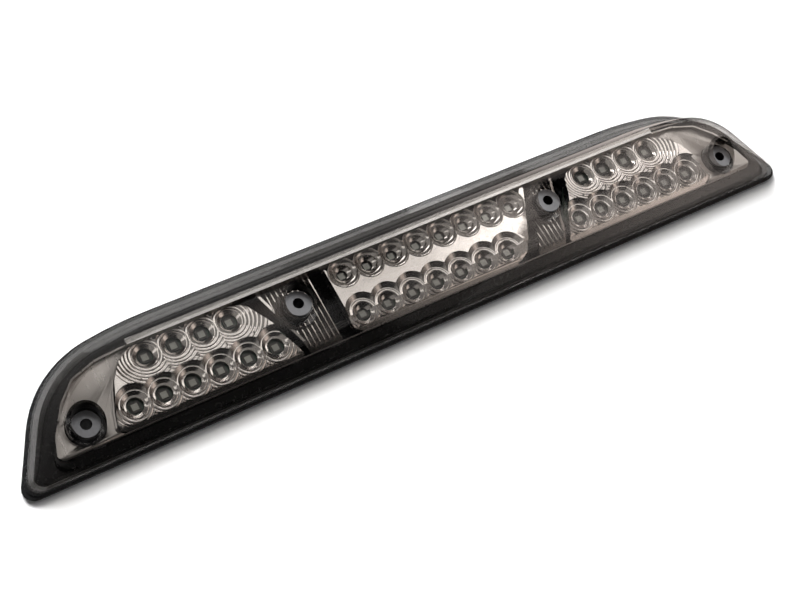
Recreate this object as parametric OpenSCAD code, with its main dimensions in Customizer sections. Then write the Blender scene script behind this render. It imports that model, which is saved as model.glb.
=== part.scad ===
// Third brake light: a long, low lamp with a slanted smoked lens, three LED clusters
// and four recessed screw wells. Units are millimetres.
// X runs along the lamp, +Y towards its upper edge, +Z out through the lens.
// The origin is the middle of the rear gasket's face, which lies against the vehicle.

/* [Body] */
// Overall length of the flange
body_len = 430; // [426:1:436]
// Overall width of the flange
body_w = 61.7; // [61:0.1:62.5]
// Thickness of the rear gasket
gasket_t = 1.5; // [1:0.25:2]
// Thickness of the housing floor and flange
floor_t = 3; // [2.5:0.25:3.5]
// Radius of the two lower corners
corner_r = 5.5; // [4:0.5:7]
// Lean of the two ends, from the lamp's Y axis
end_lean = 28; // [26:1:30]

/* [Lens] */
// Slant of the lens face
face_slant = 29.25; // [28:0.25:30.5]
// Height of the lens face above the gasket, at the middle of the lamp
face_height = 27.05; // [26.8:0.05:28]
// Wall thickness of the lens
lens_wall = 2.4; // [2:0.1:2.6]
// Width of the flat ledge round the ends and the top of the lens
lens_ledge = 5; // [4.6:0.1:5.4]
// Inward lean of the lens sides, for each millimetre of height
lens_draft = 0.545; // [0.52:0.005:0.56]

/* [Screw wells] */
// Distance of the two outer wells from the middle
outer_well_x = 180.3; // [179:0.1:182]
// Distance of the two inner wells from the middle
inner_well_x = 71.15; // [70.5:0.1:72]
// Bore that the fixing screw passes through
screw_d = 5.25; // [4.8:0.05:5.6]
// Height of the outer wells' screw seats
outer_seat_z = 15.25; // [15:0.25:15.75]
// Height of the inner wells' screw seats
inner_seat_z = 22.75; // [22:0.25:23.25]

/* [LEDs] */
// Pitch of the LEDs in the side clusters
side_pitch = 14; // [13.8:0.05:14.1]
// Pitch of the LEDs in the centre cluster
center_pitch = 13.85; // [13.7:0.05:13.9]
// Distance from the middle to the first LED of a side cluster's lower row
side_first_x = 87.4; // [87:0.1:88]
// Height of the circuit boards' front faces
board_top = 11.25; // [11:0.25:11.5]

/* [Hidden] */
$fn = 48;
clear = 0.15;

// Outline of the flange
half_len = body_len / 2;
half_w = body_w / 2;
end_nx = cos(end_lean);
end_ny = sin(end_lean);
end_reach = end_nx * (half_len - corner_r) + end_ny * (corner_r - half_w) + corner_r;
haunch_r = 55;
haunch_y = -26;
haunch_x = (end_reach - haunch_r - end_ny * haunch_y) / end_nx;
crown_r = 200;
crown_y = half_w - crown_r;
crown_x = haunch_x - sqrt(pow(crown_r - haunch_r, 2) - pow(haunch_y - crown_y, 2));
crown_turn = asin((haunch_x - crown_x) / (crown_r - haunch_r));

// Heights
floor_top = gasket_t + floor_t;
lip_t = 1.6;
face_m = tan(face_slant);
wall_drop = lens_wall / cos(face_slant);
ledge_t = 2;
ledge_top = floor_top + ledge_t;
lens_top = 36;
lower_draft = 0.02;
fit_drop = wall_drop + 0.3;
groove_t = 0.8;

// Inner walls of the housing: bezel rib, lower shelf and the light wall behind the bezel
rib_side = [12.8, 15.2];
rib_low = [5, 7];
shelf_x = 190;
shelf_y = -26.9;
shelf_w = 3.7;
shelf_h = 12;
light_wall_x = 136;
light_wall_y = 15.4;
light_wall_t = 1.5;
light_wall_h = 15.8;

// Wells
sleeve_r = 4;
sleeve_head_r = 6.2;
sleeve_head_t = 0.8;
sleeve_foot_z = 1;
well_floor_t = 2;
boss_r = 6.2;
ring_t = 0.5;
ring_r = [4.4, 5.9];
boss_gap = 0.6;
well_y = [-12.15, -0.8];
well_x = [outer_well_x, inner_well_x];
well_seat = [outer_seat_z, inner_seat_z];
well_bore_r = [6.73, 7];
well_top_r = [8.1, 8.4];
well_base_r = [8.9, 10.2];
well_base_z = [12.45, 15.5];
cup_clear_r = 9.4;

// Clusters: row heights along Y, and how many LEDs each row has
upper_row_y = 6.92;
side_lower_y = -12.65;
center_lower_y = -14.19;
side_lower_n = 6;
side_upper_n = 4;
center_lower_n = 7;
center_upper_n = 8;
cluster_low = -21.3;
cluster_high = 13.25;
led_hole_r = 3.9;
dish_r = 6.7;
board_t = 1.6;
board_bottom = board_top - board_t;
reflector_bottom = 11.75;
reflector_gap = 0.3;
low_step = 4.2;
high_step = 6.5;
row_lift = 2.3;
dish_floor = 1.6;
dish_h = 2.7;
lip_bottom = 9.4;
lip_depth = 0.7;
flute_pitch = 1.6;
flute_r = 0.8;
flute_t = 3;
peg_r = 1.1;

side_leds = [
    for (i = [0 : side_lower_n - 1]) [side_first_x + i * side_pitch, side_lower_y],
    for (i = [1 : side_upper_n]) [side_first_x + i * side_pitch, upper_row_y]
];
center_first_x = -center_pitch * (center_lower_n - 1) / 2;
center_leds = [
    for (i = [0 : center_lower_n - 1]) [center_first_x + i * center_pitch, center_lower_y],
    for (i = [0 : center_upper_n - 1]) [center_first_x + i * center_pitch, upper_row_y]
];

side_cluster = [
    [76.2, cluster_low], [166.5, cluster_low], [168.6, -19.5], [166.2, -11.5],
    [161.5, 0.5], [155.5, 8.6], [148.5, cluster_high], [92.6, cluster_high]
];
center_cluster = [
    [-46.5, cluster_low], [45.5, cluster_low], [51, -18.6], [66.8, cluster_high],
    [-49.7, cluster_high], [-49.7, -18.6]
];
flute_gap = 0.6;
left_flutes = [
    [-76.2 + flute_gap, cluster_low], [-49.7 - flute_gap, cluster_low],
    [-49.7 - flute_gap, cluster_high], [-92.6 + flute_gap, cluster_high]
];
right_flutes = [
    [50 + flute_gap, cluster_low], [76.2 - flute_gap, cluster_low],
    [92.6 - flute_gap, cluster_high], [66.8 + flute_gap, cluster_high]
];
bezel_half = [
    [0, -22.6], [194.5, -22.6], [196.8, -20], [194, -11.2], [186, 1.3],
    [177.5, 9.7], [165, 13.9], [152, 14.9], [0, 14.9]
];
bezel_top = 12.25;
bezel_t = 1.5;
bezel_wall_x = 150;
bezel_wall_t = 1.2;
bezel_wall_top = 20;

// Boards
side_board = [[80, -20.3], [164, -20.3], [160, -2], [150, 11.6], [94, 11.6], [80, -8]];
center_board = [[-48, -20.3], [48, -20.3], [58, -2], [60.5, 11.6], [-48, 11.6]];
side_board_holes = [[101.4, -4], [143.4, -4]];
center_board_holes = [[-34.7, -4.4], [34.7, -4.4]];
side_pegs = [[122.4, -3.4], [154.5, -5]];
center_pegs = [[-6.9, -4.4], [49.5, -4.4]];
post_r = 2.6;
led_size = [5, 5, 0.7];
led_window = [3.6, 3.6, 0.4];
resistor_size = [6.4, 3.2, 0.65];
side_resistors = [[112, 4], [128, 4]];
center_resistors = [[-22, 5], [14, 5], [30, 5]];
input_diode_at = [17.5, -6.6];
input_diode_size = [5, 2.8, 2.2];
surge_diode_at = [17.7, -12.2];
surge_diode_size = [5.4, 3.6, 2.3];
input_header_at = [0, -14.5];
input_header_size = [12, 6, 2.4];
pin_pitch = 4;
pin_r = 0.45;
pin_len = 2.2;
board_screw_r = 1.1;
board_screw_head_r = 2.2;
board_screw_head_t = 1.2;
board_screw_len = 5.2;
header_x = [86, 45];
header_y = -14;
header_size = [6, 6.4, 2.5];
wire_r = 0.65;
wire_gap = 2.4;
inlet_x = 0;
inlet_y = -4;
inlet_r = 4.6;
vent_x = -20;
vent_y = -8;
vent_r = 3;

// Points of an arc between two angles
function arc(c, r, a0, a1, n) =
    [for (i = [0 : n]) c + r * [cos(a0 + (a1 - a0) * i / n), sin(a0 + (a1 - a0) * i / n)]];

// Right half of the flange outline, drawn in by d at the ends and the top and by low below
function half_outline(d, low, r) =
    let (cy = low - half_w + r, cx = (end_reach - d - r - end_ny * cy) / end_nx)
    concat(
        arc([cx, cy], r, -90, end_lean, 6),
        arc([haunch_x, haunch_y], haunch_r - d, end_lean, 90 - crown_turn, 10),
        arc([crown_x, crown_y], crown_r - d, 90 - crown_turn, 90, 3)
    );

function flip_x(points) = [for (i = [len(points) - 1 : -1 : 0]) [-points[i].x, points[i].y]];

module flange_shape(d, low, r = corner_r) {
    right = half_outline(d, low, r);
    polygon(concat(right, flip_x(right)));
}

module flange_ring(d0, low0, d1, low1) {
    difference() {
        flange_shape(d0, low0);
        flange_shape(d1, low1, corner_r - 1);
    }
}

// Everything below the lens face moved down by drop
module below_face(drop) {
    translate([0, 0, face_height - drop])
        rotate([face_slant, 0, 0])
            translate([-half_len - 20, -100, -100])
                cube([body_len + 40, 200, 100]);
}

module both_sides() {
    children();
    mirror([1, 0, 0]) children();
}

// Places its child at the outer pair of wells, or the inner pair
module at_wells(k) {
    both_sides() translate([well_x[k], well_y[k], 0]) children();
}

module at_points(points) {
    for (p = points) translate([p.x, p.y, 0]) children();
}

module ring(r_out, r_in, z0, z1) {
    translate([0, 0, z0])
        difference() {
            cylinder(r = r_out, h = z1 - z0);
            translate([0, 0, -1]) cylinder(r = r_in, h = z1 - z0 + 2);
        }
}

module rear_gasket() {
    color([0.12, 0.12, 0.12])
        linear_extrude(gasket_t) flange_ring(3.5, 3, 9.5, 6.6);
}

module rear_housing() {
    color([0.06, 0.06, 0.065])
        difference() {
            union() {
                translate([0, 0, gasket_t]) linear_extrude(lip_t) flange_shape(0, 0);
                translate([0, 0, gasket_t]) linear_extrude(floor_t) flange_shape(1.2, 0.5);
                housing_walls();
                for (k = [0, 1])
                    at_wells(k)
                        translate([0, 0, gasket_t])
                            cylinder(r = boss_r, h = boss_top(k) - gasket_t);
                board_posts();
            }
            seal_groove();
            for (k = [0, 1])
                at_wells(k) translate([0, 0, -1]) cylinder(r = sleeve_r + clear, h = 40);
            translate([inlet_x, inlet_y, 0]) cylinder(r = inlet_r, h = 10);
            translate([vent_x, vent_y, 0]) cylinder(r = vent_r, h = 10);
            board_pilot_holes();
        }
}

function boss_top(k) = well_seat[k] - sleeve_head_t - well_floor_t - ring_t;

module seal_groove() {
    translate([0, 0, floor_top - groove_t]) linear_extrude(2) flange_ring(2.6, 1.8, 4.8, 3.4);
}

// The rib that carries the bezel, the light wall behind it and the sloping lower shelf
module housing_walls() {
    intersection() {
        below_face(fit_drop + 0.3);
        union() {
            translate([0, 0, gasket_t])
                linear_extrude(bezel_top - bezel_t - gasket_t)
                    flange_ring(rib_side[0], rib_low[0], rib_side[1], rib_low[1]);
            translate([-shelf_x, shelf_y, gasket_t]) cube([2 * shelf_x, shelf_w, shelf_h]);
        }
    }
    translate([-light_wall_x, light_wall_y, gasket_t])
        cube([2 * light_wall_x, light_wall_t, light_wall_h]);
}

module board_posts() {
    both_sides() at_points(side_board_holes) post();
    at_points(center_board_holes) post();
}

module post() {
    translate([0, 0, gasket_t]) cylinder(r = post_r, h = board_bottom - gasket_t);
}

module board_pilot_holes() {
    both_sides() at_points(side_board_holes) pilot_hole();
    at_points(center_board_holes) pilot_hole();
}

module pilot_hole() {
    translate([0, 0, board_top - board_screw_len - 0.4]) cylinder(r = board_screw_r, h = 10);
}

module lens_seal() {
    color([0.2, 0.2, 0.2])
        translate([0, 0, floor_top - groove_t])
            linear_extrude(groove_t) flange_ring(2.7, 1.9, 4.7, 3.3);
}

// Solid form of the lens: the ledge, and the leaning sides cut off by the slanted face
module lens_form(inset, drop, z0) {
    base_d = lens_ledge + inset + (z0 - ledge_top) * lens_draft;
    top_d = lens_ledge + inset + (lens_top - ledge_top) * lens_draft;
    low = 1.2 + inset;
    intersection() {
        below_face(drop);
        hull() {
            translate([0, 0, z0])
                linear_extrude(0.01) flange_shape(base_d, low, corner_r - 1);
            translate([0, 0, lens_top])
                linear_extrude(0.01)
                    flange_shape(top_d, low + (lens_top - z0) * lower_draft, corner_r - 1);
        }
    }
}

module outer_lens() {
    color([0.25, 0.24, 0.23, 0.5])
        difference() {
            union() {
                difference() {
                    union() {
                        translate([0, 0, floor_top])
                            linear_extrude(ledge_t) flange_shape(1.8, 0.9);
                        lens_form(0, 0, ledge_top);
                    }
                    lens_form(lens_wall, wall_drop, floor_top - 1);
                }
                intersection() {
                    below_face(0);
                    union() for (k = [0, 1]) at_wells(k) well_cup(k);
                }
            }
            for (k = [0, 1]) at_wells(k) well_hollow(k);
        }
}

module well_cup(k) {
    translate([0, 0, well_base_z[k]])
        cylinder(r1 = well_base_r[k], r2 = well_top_r[k], h = lens_top - well_base_z[k]);
}

module well_hollow(k) {
    floor_z = well_seat[k] - sleeve_head_t;
    translate([0, 0, floor_z]) cylinder(r = well_bore_r[k], h = 30);
    cylinder(r = sleeve_r + clear, h = 30);
    translate([0, 0, -1]) cylinder(r = boss_r + 0.5, h = floor_z - well_floor_t + 1);
}

module bezel() {
    color([0.72, 0.7, 0.67])
        intersection() {
            below_face(fit_drop);
            difference() {
                union() {
                    translate([0, 0, bezel_top - bezel_t]) linear_extrude(bezel_t) bezel_shape();
                    translate([-bezel_wall_x, cluster_high + reflector_gap, bezel_top - bezel_t])
                        cube([2 * bezel_wall_x, bezel_wall_t,
                              bezel_wall_top - bezel_top + bezel_t]);
                }
                translate([0, 0, -1]) linear_extrude(40) bezel_window();
                for (k = [0, 1]) at_wells(k) cylinder(r = boss_r + boss_gap, h = 40);
                at_wells(0) translate([0, 0, bezel_top - 0.1]) cylinder(r = cup_clear_r, h = 10);
            }
        }
}

module bezel_shape() {
    polygon(concat(bezel_half, flip_x(bezel_half)));
}

// One window for the clusters and the fluted panels together
module bezel_window() {
    edge = [for (p = side_cluster) if (p.x > 140) p];
    for (shift = [[-reflector_gap, 0], [reflector_gap, 0], [0, reflector_gap]])
        translate(shift) polygon(concat(edge, flip_x(edge)));
}

// A reflector: a low front step for the lower row, a taller one for the upper row
module reflector(shape, points, low_y, pegs, screws) {
    color([0.78, 0.76, 0.72])
        difference() {
            intersection() {
                below_face(fit_drop);
                union() {
                    translate([0, 0, reflector_bottom])
                        linear_extrude(low_step) polygon(shape);
                    front_lip(shape);
                    translate([0, 0, reflector_bottom])
                        linear_extrude(high_step)
                            intersection() {
                                polygon(shape);
                                translate([-200, low_y + dish_r]) square([400, 60]);
                            }
                }
            }
            for (p = points)
                translate([p.x, p.y, 0]) dish(p.y > 0 ? row_lift : 0);
            at_points(screws)
                translate([0, 0, reflector_bottom - 1])
                    cylinder(r = board_screw_head_r + 0.4, h = board_screw_head_t + 0.9);
        }
        color([0.78, 0.76, 0.72])
            at_points(pegs)
                translate([0, 0, board_bottom - 0.8])
                    cylinder(r = peg_r, h = reflector_bottom - board_bottom + 1);
}

// Turned-down lip along the lower edge of a reflector or a fluted panel
module front_lip(shape) {
    translate([0, 0, lip_bottom])
        linear_extrude(reflector_bottom - lip_bottom + 1)
            intersection() {
                polygon(shape);
                translate([-200, cluster_low]) square([400, lip_depth]);
            }
}

module dish(lift) {
    floor_z = reflector_bottom + dish_floor + lift;
    translate([0, 0, reflector_bottom - 1]) cylinder(r = led_hole_r, h = 20);
    translate([0, 0, floor_z]) cylinder(r1 = led_hole_r, r2 = dish_r, h = dish_h);
    translate([0, 0, floor_z + dish_h - 0.01]) cylinder(r = dish_r, h = 10);
}

module reflector_right() {
    reflector(side_cluster, side_leds, side_lower_y, side_pegs, side_board_holes);
}

module reflector_left() {
    mirror([1, 0, 0]) reflector_right();
}

module reflector_center() {
    reflector(center_cluster, center_leds, center_lower_y, center_pegs, center_board_holes);
}

// A fluted panel round an inner well, its ribs running along Y
module flute_panel(shape, x0, x1) {
    color([0.6, 0.59, 0.57])
        intersection() {
            below_face(fit_drop);
            difference() {
                union() {
                    translate([0, 0, reflector_bottom])
                        linear_extrude(flute_t) polygon(shape);
                    front_lip(shape);
                }
                for (x = [x0 : flute_pitch : x1])
                    translate([x, 0, reflector_bottom + flute_t + 0.3])
                        rotate([90, 0, 0])
                            cylinder(r = flute_r, h = 60, center = true, $fn = 16);
                at_wells(1) cylinder(r = boss_r + boss_gap, h = 40);
            }
        }
}

module flute_panel_left() {
    flute_panel(left_flutes, -92.8, -50);
}

module flute_panel_right() {
    flute_panel(right_flutes, 50.4, 93);
}

module board(shape, holes, pegs) {
    color([0.08, 0.22, 0.12])
        translate([0, 0, board_bottom])
            difference() {
                linear_extrude(board_t) polygon(shape);
                at_points(holes) translate([0, 0, -1]) cylinder(r = board_screw_r + clear, h = 5);
                at_points(pegs) translate([0, 0, -1]) cylinder(r = peg_r + clear, h = 5);
            }
}

module board_right() {
    board(side_board, side_board_holes, side_pegs);
}

module board_left() {
    mirror([1, 0, 0]) board_right();
}

module board_center() {
    board(center_board, center_board_holes, center_pegs);
}

// A surface-mounted LED: a square body and a smaller window
module led() {
    color([0.45, 0.46, 0.4])
        translate([0, 0, board_top]) {
            block([0, 0], led_size);
            translate([0, 0, led_size.z - 0.1]) block([0, 0], led_window);
        }
}

module leds_right() {
    at_points(side_leds) led();
}

module leds_left() {
    mirror([1, 0, 0]) leds_right();
}

module leds_center() {
    at_points(center_leds) led();
}

// A block centred on a point, standing on Z = 0
module block(at, size) {
    translate([at.x - size.x / 2, at.y - size.y / 2, 0]) cube(size);
}

// A block hung under the boards
module under_board(at, size) {
    translate([0, 0, board_bottom - size.z]) block(at, size);
}

// Chip resistors under the boards, one for each string of five LEDs
module resistors_right() {
    color([0.1, 0.1, 0.1]) for (p = side_resistors) under_board(p, resistor_size);
}

module resistors_left() {
    mirror([1, 0, 0]) resistors_right();
}

module resistors_center() {
    color([0.1, 0.1, 0.1]) for (p = center_resistors) under_board(p, resistor_size);
}

module input_diode() {
    color([0.12, 0.12, 0.12]) under_board(input_diode_at, input_diode_size);
}

module surge_diode() {
    color([0.14, 0.14, 0.14]) under_board(surge_diode_at, surge_diode_size);
}

module at_pins() {
    for (i = [-1 : 1])
        translate([input_header_at.x + i * pin_pitch, input_header_at.y, 0]) children();
}

module input_header() {
    color([0.9, 0.88, 0.8])
        difference() {
            under_board(input_header_at, input_header_size);
            at_pins() cylinder(r = pin_r + clear, h = 40);
        }
}

module input_pins() {
    color([0.8, 0.75, 0.5])
        at_pins() translate([0, 0, board_bottom - pin_len]) cylinder(r = pin_r, h = pin_len);
}

module link_headers() {
    color([0.9, 0.88, 0.8])
        both_sides() for (x = header_x) under_board([x, header_y], header_size);
}

// Two insulated wires between the centre board and a side board
module link_wires(side) {
    x0 = header_x[1] + header_size.x / 2;
    x1 = header_x[0] - header_size.x / 2;
    color([0.08, 0.08, 0.08])
        for (i = [-0.5, 0.5])
            translate([side > 0 ? x0 : -x1, header_y + i * wire_gap, board_bottom - 1.3])
                rotate([0, 90, 0]) cylinder(r = wire_r, h = x1 - x0);
}

module link_wires_left() {
    link_wires(-1);
}

module link_wires_right() {
    link_wires(1);
}

module board_screw() {
    translate([0, 0, board_top - board_screw_len]) cylinder(r = board_screw_r, h = board_screw_len);
    translate([0, 0, board_top]) cylinder(r = board_screw_head_r, h = board_screw_head_t);
}

module board_screws() {
    color([0.7, 0.7, 0.72]) {
        both_sides() at_points(side_board_holes) board_screw();
        at_points(center_board_holes) board_screw();
    }
}

// Flanged steel sleeves that carry the screw's clamp load
module sleeves(k) {
    color([0.62, 0.6, 0.64])
        at_wells(k) {
            ring(sleeve_r, screw_d / 2, sleeve_foot_z, well_seat[k] - sleeve_head_t + 0.01);
            ring(sleeve_head_r, screw_d / 2, well_seat[k] - sleeve_head_t, well_seat[k]);
        }
}

module outer_sleeves() {
    sleeves(0);
}

module inner_sleeves() {
    sleeves(1);
}

module well_seals() {
    color([0.15, 0.15, 0.15])
        for (k = [0, 1])
            at_wells(k) ring(ring_r[1], ring_r[0], boss_top(k), boss_top(k) + ring_t);
}

// Rubber grommet where the supply lead enters
module lead_grommet() {
    color([0.1, 0.1, 0.1])
        translate([inlet_x, inlet_y, 0])
            rotate_extrude()
                polygon([
                    [2, 0.6], [6.2, 0.6], [6.2, gasket_t], [inlet_r, gasket_t],
                    [inlet_r, floor_top], [5.8, floor_top], [4.4, 6.4], [2, 6.4]
                ]);
}

module vent_plug() {
    color([0.3, 0.3, 0.32])
        translate([vent_x, vent_y, 0])
            rotate_extrude()
                polygon([
                    [0, 0.8], [4.4, 0.8], [4.4, gasket_t], [vent_r, gasket_t],
                    [vent_r, floor_top], [3.5, floor_top], [3.2, 5.3], [0, 5.3]
                ]);
}

rear_gasket();
rear_housing();
lens_seal();
outer_lens();
bezel();
reflector_left();
reflector_center();
reflector_right();
flute_panel_left();
flute_panel_right();
board_left();
board_center();
board_right();
leds_left();
leds_center();
leds_right();
resistors_left();
resistors_center();
resistors_right();
input_diode();
surge_diode();
input_header();
input_pins();
link_headers();
link_wires_left();
link_wires_right();
board_screws();
outer_sleeves();
inner_sleeves();
well_seals();
lead_grommet();
vent_plug();
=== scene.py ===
from math import degrees, pi, radians

import bmesh
import bpy
from mathutils import Matrix, Vector


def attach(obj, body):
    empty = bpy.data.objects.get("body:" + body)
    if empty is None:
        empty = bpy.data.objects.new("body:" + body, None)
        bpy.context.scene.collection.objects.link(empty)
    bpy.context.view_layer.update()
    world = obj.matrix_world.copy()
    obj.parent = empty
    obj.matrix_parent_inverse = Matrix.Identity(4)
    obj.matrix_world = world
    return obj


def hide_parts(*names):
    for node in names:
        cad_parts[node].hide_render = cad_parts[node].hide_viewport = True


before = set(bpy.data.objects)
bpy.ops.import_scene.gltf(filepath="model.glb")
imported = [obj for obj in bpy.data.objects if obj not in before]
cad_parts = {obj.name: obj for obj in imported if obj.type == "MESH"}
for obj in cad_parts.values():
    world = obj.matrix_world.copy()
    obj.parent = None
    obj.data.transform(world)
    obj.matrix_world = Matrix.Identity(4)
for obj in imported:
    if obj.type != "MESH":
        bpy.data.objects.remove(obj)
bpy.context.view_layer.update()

mm = 0.001
scene = bpy.context.scene


# materials
def newMaterial(name, color, rough, metal=0.0, spec=0.5, coat=0.0, coatRough=0.05):
    mat = bpy.data.materials.new(name)
    mat.use_nodes = True
    shader = mat.node_tree.nodes["Principled BSDF"]
    shader.inputs["Base Color"].default_value = (*color, 1)
    shader.inputs["Roughness"].default_value = rough
    shader.inputs["Metallic"].default_value = metal
    shader.inputs["Specular IOR Level"].default_value = spec
    shader.inputs["Coat Weight"].default_value = coat
    shader.inputs["Coat Roughness"].default_value = coatRough
    return mat


def link(mat, a, b):
    mat.node_tree.links.new(a, b)


def addNode(mat, kind, **values):
    node = mat.node_tree.nodes.new(kind)
    for key, value in values.items():
        if key in node.inputs.keys():
            node.inputs[key].default_value = value
        else:
            setattr(node, key, value)
    return node


def noise(mat, scale, detail=4.0, stretch=(1, 1, 1)):
    coords = addNode(mat, "ShaderNodeTexCoord")
    mapping = addNode(mat, "ShaderNodeMapping")
    mapping.inputs["Scale"].default_value = stretch
    tex = addNode(mat, "ShaderNodeTexNoise", Scale=scale, Detail=detail)
    link(mat, coords.outputs["Object"], mapping.inputs["Vector"])
    link(mat, mapping.outputs["Vector"], tex.inputs["Vector"])
    return tex.outputs["Fac"]


def spread(mat, source, low, high):
    node = addNode(mat, "ShaderNodeMapRange")
    node.inputs["From Min"].default_value = 0.3
    node.inputs["From Max"].default_value = 0.7
    node.inputs["To Min"].default_value = low
    node.inputs["To Max"].default_value = high
    link(mat, source, node.inputs["Value"])
    return node.outputs["Result"]


def shade(mat, source, dark, light):
    node = addNode(mat, "ShaderNodeMix", data_type="RGBA")
    node.inputs["A"].default_value = (*dark, 1)
    node.inputs["B"].default_value = (*light, 1)
    link(mat, source, node.inputs["Factor"])
    return node.outputs["Result"]


def worn(
    name, dark, light, rough, metal=0.0, grain=120, grainBump=0.02, spec=0.5, coat=0.0,
    stretch=(1, 1, 1)):
    mat = newMaterial(name, light, rough[0], metal, spec, coat)
    shader = mat.node_tree.nodes["Principled BSDF"]
    blotch = noise(mat, 35, 3, stretch)
    link(mat, shade(mat, spread(mat, blotch, 0, 1), dark, light), shader.inputs["Base Color"])
    fine = noise(mat, grain * 8, 5, stretch)
    link(mat, spread(mat, fine, *rough), shader.inputs["Roughness"])
    bump = addNode(mat, "ShaderNodeBump", Strength=grainBump, Distance=0.0004)
    link(mat, fine, bump.inputs["Height"])
    link(mat, bump.outputs["Normal"], shader.inputs["Normal"])
    return mat


def powered(mat, source, exponent, scale, offset):
    power = addNode(mat, "ShaderNodeMath", operation="POWER")
    power.inputs[1].default_value = exponent
    link(mat, source, power.inputs[0])
    node = addNode(mat, "ShaderNodeMath", operation="MULTIPLY_ADD")
    node.inputs[1].default_value = scale
    node.inputs[2].default_value = offset
    link(mat, power.outputs["Value"], node.inputs[0])
    return node.outputs["Value"]


def smokedMaterial(name, look):
    mat = bpy.data.materials.new(name)
    mat.use_nodes = True
    tree = mat.node_tree
    tree.nodes.remove(tree.nodes["Principled BSDF"])
    facing = addNode(mat, "ShaderNodeLayerWeight", Blend=0.5).outputs["Facing"]
    clear = addNode(mat, "ShaderNodeBsdfTransparent")
    tint = powered(mat, facing, 2.2, 1, 0)
    link(mat, shade(mat, tint, look["through"], look["throughEdge"]), clear.inputs["Color"])
    gloss = addNode(mat, "ShaderNodeBsdfGlossy")
    gloss.inputs["Color"].default_value = (1, 1, 1, 1)
    fine = noise(mat, 260, 4)
    link(mat, spread(mat, fine, look["rough"], look["rough"] + 0.035), gloss.inputs["Roughness"])
    bump = addNode(mat, "ShaderNodeBump", Strength=0.01, Distance=0.0003)
    link(mat, noise(mat, 60, 2), bump.inputs["Height"])
    link(mat, bump.outputs["Normal"], gloss.inputs["Normal"])
    mix = addNode(mat, "ShaderNodeMixShader")
    link(mat, powered(mat, facing, 5, 0.96 - look["mirror"], look["mirror"]), mix.inputs["Fac"])
    link(mat, clear.outputs["BSDF"], mix.inputs[1])
    link(mat, gloss.outputs["BSDF"], mix.inputs[2])
    link(mat, mix.outputs["Shader"], tree.nodes["Material Output"].inputs["Surface"])
    return mat


lensLook = dict(
    through=(0.87, 0.86, 0.85), throughEdge=(0.36, 0.34, 0.33), rough=0.015, mirror=0.034)
smokedAcrylic = smokedMaterial("smokedAcrylic", lensLook)
smokedCup = smokedMaterial(
    "smokedCup", dict(lensLook, through=(0.13, 0.125, 0.12), throughEdge=(0.03, 0.028, 0.027)))
# right-hand cups: a lighter tint than the left ones, painted light
smokedCupPaintedLight = smokedMaterial(
    "smokedCupPaintedLight", dict(lensLook, through=(0.50, 0.48, 0.465), throughEdge=(0.12, 0.112, 0.108)))
# flute flanks: a darker copy of the metallised finish, painted shade so the crests read as thin bright
# lines
fluteFlankPaintedShade = worn(
    "fluteFlankPaintedShade", (0.15, 0.142, 0.138), (0.24, 0.23, 0.222), (0.16, 0.26), metal=1.0, grain=60,
    grainBump=0.02)
blackPlastic = worn(
    "blackPlastic", (0.005, 0.005, 0.0055), (0.009, 0.009, 0.0095), (0.2, 0.3), grain=60,
    grainBump=0.012, spec=0.28)
brightMetal = worn(
    "brightMetal", (0.62, 0.60, 0.58), (0.74, 0.72, 0.70), (0.10, 0.20), metal=1.0, grain=60,
    grainBump=0.03)
satinMetal = worn(
    "satinMetal", (0.385, 0.372, 0.358), (0.46, 0.445, 0.43), (0.26, 0.34), metal=1.0, grain=60,
    grainBump=0.006, stretch=(1, 0.15, 1))
# ledge top: metallised finish made lighter than the bezel metal, partly a painted highlight along the
# strip
ledgeMetalPaintedHighlight = worn(
    "ledgeMetalPaintedHighlight", (0.44, 0.44, 0.435), (0.53, 0.53, 0.525), (0.18, 0.28), metal=1.0, grain=60,
    grainBump=0.01, stretch=(0.1, 1, 1))
boardGreen = worn(
    "boardGreen", (0.004, 0.014, 0.008), (0.008, 0.024, 0.014), (0.3, 0.45), grain=80, coat=0.4)
ledBody = worn("ledBody", (0.012, 0.012, 0.011), (0.024, 0.024, 0.022), (0.35, 0.5), grain=200)
ledResin = worn(
    "ledResin", (0.11, 0.115, 0.10), (0.20, 0.205, 0.18), (0.12, 0.2), grain=150, coat=0.6)
sleeveSteel = worn(
    "sleeveSteel", (0.095, 0.095, 0.098), (0.145, 0.145, 0.15), (0.3, 0.42), metal=1.0, grain=150,
    grainBump=0.08)
zincSteel = worn(
    "zincSteel", (0.55, 0.55, 0.56), (0.7, 0.7, 0.72), (0.25, 0.4), metal=1.0, grain=150,
    grainBump=0.08)
darkRubber = worn(
    "darkRubber", (0.012, 0.012, 0.012), (0.025, 0.025, 0.025), (0.6, 0.75), grain=250,
    grainBump=0.2)
closedFoam = worn(
    "closedFoam", (0.015, 0.015, 0.016), (0.035, 0.035, 0.036), (0.8, 0.95), grain=180,
    grainBump=0.8)
sealantGrey = worn(
    "sealantGrey", (0.06, 0.06, 0.06), (0.10, 0.10, 0.10), (0.5, 0.65), grain=100, grainBump=0.3)
partBlack = worn(
    "partBlack", (0.015, 0.015, 0.016), (0.03, 0.03, 0.031), (0.4, 0.55), grain=250, grainBump=0.1)
headerNylon = worn(
    "headerNylon", (0.62, 0.60, 0.50), (0.75, 0.73, 0.64), (0.45, 0.6), grain=150, grainBump=0.1)
pinTin = worn("pinTin", (0.62, 0.58, 0.42), (0.78, 0.72, 0.50), (0.2, 0.32), metal=1.0, grain=200)
wireBlack = worn(
    "wireBlack", (0.010, 0.010, 0.010), (0.02, 0.02, 0.02), (0.4, 0.5), grain=200, grainBump=0.1)
ventWhite = worn(
    "ventWhite", (0.10, 0.10, 0.11), (0.16, 0.16, 0.17), (0.6, 0.75), grain=200, grainBump=0.2)


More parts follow.
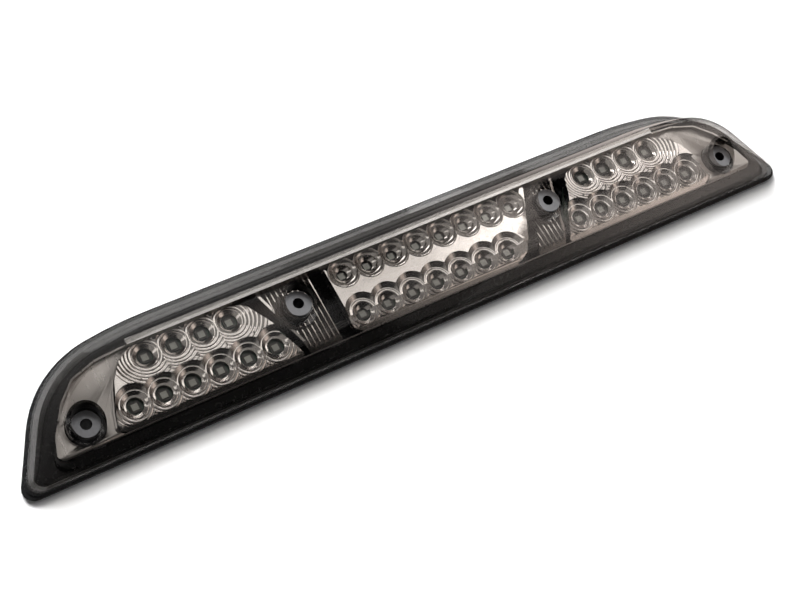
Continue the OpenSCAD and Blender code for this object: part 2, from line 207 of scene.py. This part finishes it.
# making pieces
def place(name, bm, material, slotName, *cadNodes, sharp=34):
    bmesh.ops.scale(bm, vec=(mm, mm, mm), verts=bm.verts)
    for face in bm.faces:
        face.smooth = True
    for edge in bm.edges:
        edge.smooth = len(edge.link_faces) == 2 and edge.calc_face_angle(0) < radians(sharp)
    mesh = bpy.data.meshes.new(name)
    bm.to_mesh(mesh)
    bm.free()
    mesh.materials.append(material)
    piece = bpy.data.objects.new(name, mesh)
    scene.collection.objects.link(piece)
    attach(piece, "root")
    if cadNodes:
        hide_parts(*cadNodes)
    print("made", name, len(mesh.polygons))
    return piece


def vertsOf(geom):
    return [v for v in geom if isinstance(v, bmesh.types.BMVert)]


def prism(points, z0, z1, cornerR=0.0, segments=4):
    bm = bmesh.new()
    base = bm.faces.new([bm.verts.new((x, y, z0)) for x, y in points])
    raised = bmesh.ops.extrude_face_region(bm, geom=[base])
    bmesh.ops.translate(bm, vec=(0, 0, z1 - z0), verts=vertsOf(raised["geom"]))
    if cornerR:
        upright = [e for e in bm.edges if abs(e.verts[0].co.z - e.verts[1].co.z) > 0.01]
        bmesh.ops.bevel(
            bm, geom=upright, offset=cornerR, segments=segments, profile=0.5, affect="EDGES",
            material=-1)
    bmesh.ops.recalc_face_normals(bm, faces=bm.faces)
    return bm


def turned(profile, at=(0, 0), steps=48, tilt=0.0, pivotZ=0.0):
    bm = bmesh.new()
    chain = [bm.verts.new((r, 0, z)) for r, z in profile]
    edges = [bm.edges.new(pair) for pair in zip(chain, chain[1:])]
    bmesh.ops.spin(
        bm, geom=chain + edges, cent=(0, 0, 0), axis=(0, 0, 1), angle=2 * pi, steps=steps,
        use_merge=True)
    bmesh.ops.remove_doubles(bm, verts=bm.verts, dist=0.0005)
    bmesh.ops.recalc_face_normals(bm, faces=bm.faces)
    if tilt:
        bmesh.ops.rotate(
            bm, verts=bm.verts, cent=(0, 0, pivotZ), matrix=Matrix.Rotation(tilt, 3, "X"))
    bmesh.ops.translate(bm, vec=(at[0], at[1], 0), verts=bm.verts)
    return bm


def trim(bm, point, normal):
    bmesh.ops.bisect_plane(
        bm, geom=bm.verts[:] + bm.edges[:] + bm.faces[:], plane_co=point, plane_no=normal,
        clear_outer=True)
    bmesh.ops.holes_fill(bm, edges=[e for e in bm.edges if e.is_boundary], sides=0)
    bmesh.ops.recalc_face_normals(bm, faces=bm.faces)


def tempObject(bm):
    mesh = bpy.data.meshes.new("temp")
    bm.to_mesh(mesh)
    bm.free()
    holder = bpy.data.objects.new("temp", mesh)
    scene.collection.objects.link(holder)
    return holder


def carve(bm, tools, how="DIFFERENCE"):
    base = tempObject(bm)
    helpers = [tempObject(tool) for tool in tools]
    for helper in helpers:  # one Boolean for each tool
        cut = base.modifiers.new("cut", "BOOLEAN")
        cut.operation = how
        cut.solver = "MANIFOLD"
        cut.object = helper
    result = bmesh.new()
    result.from_object(base, bpy.context.evaluated_depsgraph_get())
    for holder in helpers + [base]:
        bpy.data.objects.remove(holder)
    bmesh.ops.remove_doubles(result, verts=result.verts, dist=0.0008)
    return result


def copyNode(name):
    bm = bmesh.new()
    bm.from_mesh(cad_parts[name].data)
    bmesh.ops.scale(bm, vec=(1000, 1000, 1000), verts=bm.verts)
    bmesh.ops.remove_doubles(bm, verts=bm.verts, dist=0.001)
    bmesh.ops.dissolve_limit(
        bm, angle_limit=radians(0.4), verts=bm.verts, edges=bm.edges, use_dissolve_boundaries=False)
    return bm


def soften(bm, width, segments, least=25, where=lambda edge: True):
    edges = [e for e in bm.edges if e.is_manifold and degrees(e.calc_face_angle(0)) > least and where(e)]
    bmesh.ops.bevel(
        bm, geom=edges, offset=width, segments=segments, profile=0.5, affect="EDGES", material=-1,
        clamp_overlap=True)


def flip(points, side):
    return points if side > 0 else [(-x, y) for x, y in reversed(points)]


# lamp layout, millimetres
lamp = dict(
    faceHeight=27.05, faceRise=0.56, lensWall=2.75, fitGap=0.3,
    outerWell=(180.3, -12.15), innerWell=(71.15, -0.8),
    upperRow=6.92, sideLowerRow=-12.65, centerLowerRow=-14.19, sidePitch=14, centerPitch=13.85,
)
lensNormal = (0, -lamp["faceRise"], 1)  # inner pieces are cut off below the slanted lens
fitPoint = (0, 0, lamp["faceHeight"] - lamp["lensWall"] - lamp["fitGap"])
sideOutline = [
    (76.2, -21.3), (166.5, -21.3), (168.6, -19.5), (166.2, -11.5), (161.5, 0.5), (155.5, 8.6),
    (148.5, 13.25), (92.6, 13.25)]
centerOutline = [
    (-46.5, -21.3), (45.5, -21.3), (51, -18.6), (66.8, 13.25), (-49.7, 13.25), (-49.7, -18.6)]


def row(firstX, y, pitch, count):
    return [(firstX + pitch * i, y) for i in range(count)]


sideUpper = row(101.4, lamp["upperRow"], lamp["sidePitch"], 4)
sideLower = row(87.4, lamp["sideLowerRow"], lamp["sidePitch"], 6)
centerUpper = row(-41.55, lamp["upperRow"], lamp["centerPitch"], 8)
centerLower = row(-41.55, lamp["centerLowerRow"], lamp["centerPitch"], 7)


# camera, floor and light
cameraLook = dict(
    at=(-0.29923, -0.20476, 0.61281), right=(0.84176, -0.48544, 0.23620),
    up=(0.35842, 0.82972, 0.42790), ahead=(0.40370, 0.27554, -0.87242), lens=65.34)
cameraData = bpy.data.cameras.new("camera")
cameraData.lens = cameraLook["lens"]
cameraData.sensor_width = 36
cameraData.clip_start = 0.01
camera = bpy.data.objects.new("camera", cameraData)
turn = Matrix([cameraLook["right"], cameraLook["up"], [-v for v in cameraLook["ahead"]]])
turn = turn.transposed().to_4x4()
camera.matrix_world = Matrix.Translation(cameraLook["at"]) @ turn
scene.collection.objects.link(camera)
scene.camera = camera

floorMat = newMaterial("floorPale", (0.86, 0.86, 0.86), 0.7, spec=0.2)
floorBm = bmesh.new()
bmesh.ops.create_grid(floorBm, x_segments=2, y_segments=2, size=6)
floorMesh = bpy.data.meshes.new("floor")
floorBm.to_mesh(floorMesh)
floorBm.free()
floorMesh.materials.append(floorMat)
floor = bpy.data.objects.new("floor", floorMesh)
floor.location.z = -0.0002
floor.visible_glossy = False
scene.collection.objects.link(floor)


def softbox(name, at, size, strength, target=(0, 0, 0.02), mirrored=True):
    data = bpy.data.lights.new(name, "AREA")
    data.shape = "RECTANGLE"
    data.size, data.size_y = size
    data.energy = strength * pi * size[0] * size[1]
    lampObject = bpy.data.objects.new(name, data)
    lampObject.location = at
    lampObject.rotation_mode = "QUATERNION"
    lampObject.rotation_quaternion = (Vector(target) - Vector(at)).to_track_quat("-Z", "Y")
    lampObject.visible_glossy = mirrored
    lampObject.visible_transmission = False
    lampObject.visible_diffuse = not mirrored
    scene.collection.objects.link(lampObject)


softbox("key", (-0.22, 1.02, 1.14), (0.75, 0.72), 25.0, mirrored=False)
softbox("fill", (0.5, 0.8, 2.1), (2.6, 1.3), 1.9, mirrored=False)
farLights = (
    ("farBack", (0, 4.2, 2.8), 0.75), ("farLeft", (-4.2, 0, 2.8), 0.75),
    ("farRight", (4.2, 0, 2.8), 0.75), ("farFront", (0, -4.6, 2.8), 0.4),
)
for name, spot, strength in farLights:  # keep the far floor pale in views from the sides
    softbox(name, spot, (3.6, 3.6), strength, target=(spot[0], spot[1] + 0.01, 0), mirrored=False)
softbox("ceilingCard", (0.30, 0.42, 1.2), (0.78, 0.5), 1.7)
softbox("ceilingRight", (1.02, 0.42, 1.2), (0.62, 0.6), 2.9)
softbox("leftStrip", (-0.95, 0.25, 0.65), (0.22, 0.9), 2.1)
softbox("backStrip", (0.25, 1.1, 0.8), (1.4, 0.2), 6.0)


def band(tree, source, start, stop, low, high):
    node = tree.nodes.new("ShaderNodeMapRange")
    node.interpolation_type = "SMOOTHSTEP"
    sockets = ("From Min", "From Max", "To Min", "To Max")
    for socket, value in zip(sockets, (start, stop, low, high)):
        node.inputs[socket].default_value = value
    tree.links.new(source, node.inputs["Value"])
    return node.outputs["Result"]


studioLook = dict(
    low=0.07, high=0.42, riseFrom=0.02, riseTo=0.4, frontFrom=-0.36, frontTo=-0.52, frontDark=0.04,
    glowStep=0.34, glowRise=1.15, backLow=1.0)
scene.world = bpy.data.worlds.new("studio")
scene.world.use_nodes = True
scene.world.cycles_visibility.diffuse = False
tree = scene.world.node_tree
axes = tree.nodes.new("ShaderNodeSeparateXYZ")
tree.links.new(tree.nodes.new("ShaderNodeTexCoord").outputs["Generated"], axes.inputs["Vector"])
along, across, upward = axes.outputs["X"], axes.outputs["Y"], axes.outputs["Z"]


def combine(tree, how, a, b):
    node = tree.nodes.new("ShaderNodeMath")
    node.operation = how
    tree.links.new(a, node.inputs[0])
    tree.links.new(b, node.inputs[1])
    return node.outputs["Value"]


look = studioLook
overhead = band(tree, upward, look["riseFrom"], look["riseTo"], look["low"], look["high"])
front = band(tree, across, look["frontTo"], look["frontFrom"], look["frontDark"], 1)
glow = combine(
    tree, "ADD", band(tree, along, 0.395, 0.412, 0, look["glowStep"]),
    band(tree, along, 0.46, 0.64, 0, look["glowRise"]))
glow = combine(tree, "MULTIPLY", glow, band(tree, across, -0.42, -0.3, 1, 0))
glow = combine(tree, "MULTIPLY", glow, band(tree, upward, 0.3, 0.5, 0, 1))
back = combine(
    tree, "MULTIPLY", band(tree, along, 0.40, 0.62, 0, look["backLow"]),
    band(tree, across, 0.25, 0.45, 0, 1))
back = combine(tree, "MULTIPLY", back, band(tree, upward, -0.5, -0.2, 1, 0))
total = combine(
    tree, "ADD", combine(tree, "MULTIPLY", overhead, front), combine(tree, "ADD", glow, back))
tree.links.new(total, tree.nodes["Background"].inputs["Strength"])
warmth = tree.nodes.new("ShaderNodeMix")
warmth.data_type = "RGBA"
warmth.inputs["A"].default_value = (1, 0.985, 0.97, 1)
warmth.inputs["B"].default_value = (1, 0.89, 0.83, 1)
tree.links.new(band(tree, along, 0.34, 0.52, 0, 1), warmth.inputs["Factor"])
tree.links.new(warmth.outputs["Result"], tree.nodes["Background"].inputs["Color"])
scene.view_settings.view_transform = "Standard"
scene.cycles.transparent_max_bounces = 24
print("stage: camera, floor and light")


# reflectors
dishLook = dict(
    holeR=3.75, rimR=3.98, rimZ=13.5, ringFrom=6.15, ringPitch=1.75, ringHigh=0.4, ringSlope=0.34,
    lowerTilt=14, top=18.25, bottom=11.75)
lipLook = dict(front=-22.0, back=-20.9, low=9.4, high=14)
cutTop = 40  # above every piece, where cutting shapes end


def ringed(outR, slope):
    look = dishLook
    z = look["rimZ"]
    points = [
        (0, 9), (look["holeR"], 9), (look["holeR"] + 0.03, z - 0.35), (look["rimR"] + 0.1, z),
        (4.6, z + 0.2), (5.2, z + 0.75), (5.75, z + 1.0), (6.05, z + 0.92)]
    r, z, high, pitch = look["ringFrom"], z + 0.72 + slope, look["ringHigh"], look["ringPitch"]
    while r + pitch <= outR + 0.01:
        points += [
            (r, z), (r + 0.22 * pitch, z + 0.7 * high), (r + 0.5 * pitch, z + high),
            (r + 0.8 * pitch, z + 0.8 * high)]
        r += pitch
        z += pitch * slope
    return points + [(outR, z), (outR, cutTop), (0, cutTop)]


def withLip(bm, x0, x1):
    front, back = lipLook["front"], lipLook["back"]
    lip = prism([(x0, front), (x1, front), (x1, back), (x0, back)], lipLook["low"], lipLook["high"])
    bm = carve(bm, [lip], "UNION")
    trim(bm, fitPoint, lensNormal)
    return bm


def apronCut(at):
    look = dishLook
    tool = turned(ringed(11.6, 0.1), (0, 0), tilt=radians(look["lowerTilt"]), pivotZ=look["rimZ"])
    trim(tool, (0, 0.6, 0), (0, 1, 0))
    bmesh.ops.translate(tool, vec=(at[0], at[1], 0), verts=tool.verts)
    return tool


def dimple(at, radius, foot):
    return turned([(0, foot), (radius * 0.6, foot), (radius, cutTop), (0, cutTop)], at, steps=12)


def sideReflector(side):
    look = dishLook
    z = look["rimZ"]
    outline = sideOutline[:-1] + [(98.5, 13.25), (94.0, 12.0), (91.0, 9.4)]
    bm = prism(flip(outline, side), look["bottom"], look["top"], 0.9)
    bm = withLip(bm, *sorted((side * 77, side * 165.5)))
    upper = [(side * x, y) for x, y in sideUpper]
    lower = [(side * x, y) for x, y in sideLower]
    tools = [turned(ringed(17.2, look["ringSlope"]), at) for at in upper]
    dishCut = [
        (0, z - 1), (look["holeR"], z - 1), (4.1, z), (4.9, z + 0.1), (5.15, z + 0.2),
        (6.75, z + 1.35), (6.85, cutTop), (0, cutTop)]
    shoulderCut = [
        (0, z + 1.35), (7.3, z + 1.35), (7.45, z + 1.45), (9.25, z + 2.75), (9.3, cutTop),
        (0, cutTop)]
    ledHole = [
        (0, 9), (look["holeR"], 9), (look["holeR"], z - 0.9), (4.05, z + 0.1), (4.6, cutTop),
        (0, cutTop)]
    for at in lower:
        tools.append(apronCut(at))
        tools += [turned(profile, at) for profile in (dishCut, shoulderCut, ledHole)]
    for x, y in row(94.4, -3.3, lamp["sidePitch"], 5):
        tools.append(dimple((side * x, y), 0.85, z + 0.2))
        tools.append(dimple((side * x, 12.9), 1.5, z - 0.5))
    return carve(bm, tools)


for side, name in ((1, "Right"), (-1, "Left")):
    place(
        "reflector" + name, sideReflector(side), brightMetal, "metallised",
        "reflector_" + name.lower())


bowlLook = dict(base=12.75, holeR=2.7, top=16.9, innerR=5.2, rimR=7.25)


def bowl(lift, rim):
    look = bowlLook
    z = look["base"] + lift
    points = [
        (0, 9), (look["holeR"], 9), (look["holeR"] + 0.05, z), (2.95, z + 0.1), (4.1, z + 0.75),
        (4.9, z + 1.5), (look["innerR"], z + 2.0), (look["innerR"] + 0.22, z + 2.08)]
    if rim:
        points += [
            (6.3, z + 2.5), (7.0, z + 3.2), (look["rimR"], z + 3.75), (look["rimR"] + 0.1, cutTop),
            (0, cutTop)]
    else:
        points += [(5.6, z + 2.2), (5.7, cutTop), (0, cutTop)]
    return points


def centerReflector():
    look = dishLook
    bm = prism(centerOutline, look["bottom"], bowlLook["top"], 1.6)
    lip = [
        (6.9, 13), (6.9, 16.9), (7.2, 17.2), (7.5, 17.3), (7.8, 17.2), (8.0, 16.85), (8.0, 13),
        (6.9, 13)]
    bm = carve(bm, [turned(lip, at) for at in centerUpper], "UNION")
    trim(bm, (0, 13.25, 0), (0, 1, 0))
    bm = withLip(bm, -45.2, 44.2)
    tools = [turned(bowl(0.5, True), at) for at in centerUpper]
    shoulderCut = [
        (0, 15.0), (6.3, 15.0), (6.5, 15.1), (6.9, 15.1), (9.45, 16.88), (9.55, cutTop),
        (0, cutTop)]
    for at in centerLower:
        tools += [turned(bowl(0.0, False), at), apronCut(at), turned(shoulderCut, at)]
    for i in range(9):
        shift = lamp["centerPitch"] * i
        tools.append(prism(
            [(-51.2 + shift, 14), (-48.5 + shift, 10.2), (-45.8 + shift, 14)], 12.4, cutTop))
    return carve(bm, tools)


place("reflectorCenter", centerReflector(), brightMetal, "metallised", "reflector_center")


# LEDs
ledLook = dict(body=5.0, thick=0.7, window=2.3, seat=11.25)


def ledsAt(points):
    look = ledLook
    bm = bmesh.new()
    for x, y in points:
        made = bmesh.ops.create_cube(bm, size=1)["verts"]
        bmesh.ops.scale(bm, vec=(look["body"], look["body"], look["thick"]), verts=made)
        bmesh.ops.translate(bm, vec=(x, y, look["seat"] + look["thick"] / 2), verts=made)
        faces = {f for v in made for f in v.link_faces}
        top = max(faces, key=lambda f: f.calc_center_median().z)
        bmesh.ops.inset_region(bm, faces=[top], thickness=(look["body"] - look["window"]) / 2)
        top.material_index = 1
        raised = bmesh.ops.extrude_face_region(bm, geom=[top])["geom"]
        bmesh.ops.translate(bm, vec=(0, 0, 0.3), verts=vertsOf(raised))
    bmesh.ops.delete(bm, geom=[f for f in bm.faces if f.normal.length < 0.5], context="FACES_ONLY")
    bmesh.ops.recalc_face_normals(bm, faces=bm.faces)
    return bm


sideLeds = sideUpper + sideLower
centerLeds = centerUpper + centerLower
for name, points in (("Right", sideLeds), ("Left", flip(sideLeds, -1)), ("Center", centerLeds)):
    leds = place("leds" + name, ledsAt(points), ledBody, "led_package", "leds_" + name.lower())
    leds.data.materials.append(ledResin)


# fluted panels
fluteLook = dict(pitch=2.5, high=1.15, base=12.35, foot=11.75, stripWide=1.25, stripTop=15.0)
fluteProfile = (  # share of the pitch, share of the height
    (0, 0), (0.20, 0.86), (0.24, 0.98), (0.28, 1), (0.42, 1), (0.46, 0.95), (0.70, 0.42),
    (0.74, 0.46), (0.80, 0.4))
leftFlutes = [(-73.4, -21.9), (-56.4, -21.9), (-56.4, 13.25), (-84.6, 13.25)]
rightFlutes = [(57.0, -21.9), (73.4, -21.9), (84.6, 13.25), (72.6, 13.25)]


def flutedPanel(outline):
    look = fluteLook
    xs = [p[0] for p in outline]
    side = 1 if xs[0] > 0 else -1
    bm = bmesh.new()
    chain, x = [], min(xs) - 1
    while x < max(xs) + 1:
        for part, lift in fluteProfile:
            z = look["base"] + lift * look["high"]
            chain.append(bm.verts.new((x + part * look["pitch"], -23, z)))
        x += look["pitch"]
    chain.append(bm.verts.new((x, -23, look["foot"])))
    chain.append(bm.verts.new((chain[0].co.x, -23, look["foot"])))
    end = bm.faces.new(chain)
    pulled = bmesh.ops.extrude_face_region(bm, geom=[end])
    bmesh.ops.translate(bm, vec=(0, 38, 0), verts=vertsOf(pulled["geom"]))
    bmesh.ops.recalc_face_normals(bm, faces=bm.faces)
    hole = turned(
        [(0, 5), (6.8, 5), (6.8, cutTop), (0, cutTop)],
        (lamp["innerWell"][0] * side, lamp["innerWell"][1]))
    bm = carve(bm, [prism(outline, 5, 30)], "INTERSECT")
    wide = look["stripWide"]
    strip = [(73.4 - wide, -21.9), (73.4, -21.9), (84.6, 13.25), (84.6 - wide, 13.25)]
    bm = carve(bm, [prism(flip(strip, side), look["foot"], look["stripTop"])], "UNION")
    bm = carve(bm, [hole])
    trim(bm, fitPoint, lensNormal)
    # sloped flank faces get the darker metal: painted shade in the flute valleys
    for face in bm.faces:
        if face.normal.z < 0.93 and face.calc_center_median().z < 14:
            face.material_index = 1
    return bm


for name, outline in (("Left", leftFlutes), ("Right", rightFlutes)):
    fluted = place(
        "fluted" + name, flutedPanel(outline), brightMetal, "metallised",
        "flute_panel_" + name.lower())
    fluted.data.materials.append(fluteFlankPaintedShade)


# bezel
bezelLook = dict(
    top=12.25, thick=0.9, lipTop=13.5, lipWide=1.15, ledgeTop=18.8, ledgeBack=15.2, shelfBack=16.2,
    shelfLow=17.6, rimTop=15.0)
bezelEdge = [
    (194.5, -22.6), (196.8, -20), (194, -11.2), (186, 1.3), (177.5, 9.7), (165, 13.9), (152, 14.9)]
windowEdge = [
    (166.5, -22.0), (168.6, -19.5), (166.2, -11.5), (161.5, 0.5), (155.5, 8.6), (148.5, 13.5)]
rimOuter = [(148, 14.95), (152, 14.9), (165, 13.9), (177.5, 9.7), (186, 1.3), (190.5, -5.7)]
rimInner = [(189.9, -6.0), (185.2, 0.7), (177, 8.9), (164.8, 13.0), (152, 14.0), (148, 14.0)]


def bothSides(points, shift=0.0):
    right = [(x + shift, y) for x, y in points]
    return right + [(-x, y) for x, y in reversed(right)]


def bezel():
    look = bezelLook
    bm = prism(bothSides(bezelEdge), look["top"] - look["thick"], look["top"], 1.0)
    lip = carve(prism(bothSides(windowEdge, look["lipWide"]), 11.6, look["lipTop"], 0.8),
                [prism([(-147.5, -23), (147.5, -23), (147.5, 16), (-147.5, 16)], 5, 30)])
    ledge = prism(
        [(-149.5, 13.4), (149.5, 13.4), (149.5, look["ledgeBack"]), (-149.5, look["ledgeBack"])],
        11.5, look["ledgeTop"])
    shelf = prism(
        [(-149.5, 13.4), (149.5, 13.4), (149.5, look["shelfBack"]), (-149.5, look["shelfBack"])],
        look["shelfLow"], look["ledgeTop"])
    rims = [prism(flip(rimOuter + rimInner, side), 11.6, look["rimTop"]) for side in (1, -1)]
    bm = carve(bm, [lip, ledge, shelf] + rims, "UNION")
    window = prism(bothSides(windowEdge, 0.35), 5, 13.9, 1.4)
    wellX, wellY = lamp["outerWell"]
    wellHole = [(0, 5), (9.1, 5), (9.1, 30), (0, 30)]
    holes = [turned(wellHole, (side * wellX, wellY), steps=64) for side in (1, -1)]
    bm = carve(bm, [window] + holes)
    trim(bm, fitPoint, lensNormal)
    soften(bm, 0.12, 2, 50)
    # top faces get the lighter metal: a painted highlight on the ledge
    for face in bm.faces:
        if face.calc_center_median().z > 15.2:
            face.material_index = 1
    return bm


bezelPiece = place("bezel", bezel(), satinMetal, "metallised", "bezel")
bezelPiece.data.materials.append(ledgeMetalPaintedHighlight)


# lens and housing
def flangeEdge(edge):
    outside = any(abs(v.co.y) > 20 or abs(v.co.x) > 195 for v in edge.verts)
    return outside and max(v.co.z for v in edge.verts) < 4.6


lensBm = copyNode("outer_lens")
soften(lensBm, 0.55, 3, 24, lambda e: min(v.co.z for v in e.verts) > 10)
for face in lensBm.faces:
    spot = face.calc_center_median()
    foot = Vector((abs(spot.x), spot.y))
    for well, reach in ((lamp["outerWell"], 9.4), (lamp["innerWell"], 10.6)):
        if (foot - Vector(well)).length < reach and abs(face.normal.z) < 0.6:
            face.material_index = 1 if spot.x < 0 else 2  # right cups get a lighter tint than the left ones: painted light where the right end catches more light
lens = place("outerLens", lensBm, smokedAcrylic, "smoked_lens", "outer_lens")
lens.data.materials.append(smokedCup)
lens.data.materials.append(smokedCupPaintedLight)
housingBm = copyNode("rear_housing")
soften(housingBm, 0.4, 2, 40, flangeEdge)
place("rearHousing", housingBm, blackPlastic, "housing_black", "rear_housing")

nodeLooks = dict(
    rear_gasket=closedFoam, lens_seal=sealantGrey,
    board_left=boardGreen, board_center=boardGreen, board_right=boardGreen,
    resistors_left=partBlack, resistors_center=partBlack, resistors_right=partBlack,
    input_diode=partBlack, surge_diode=partBlack, input_header=headerNylon, input_pins=pinTin,
    link_headers=headerNylon, link_wires_left=wireBlack, link_wires_right=wireBlack,
    board_screws=zincSteel, outer_sleeves=sleeveSteel, inner_sleeves=sleeveSteel,
    well_seals=darkRubber, lead_grommet=darkRubber, vent_plug=ventWhite,
)
for nodeName, material in nodeLooks.items():
    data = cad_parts[nodeName].data
    data.materials.clear()
    data.materials.append(material)
print("stage: carried-over pieces painted")
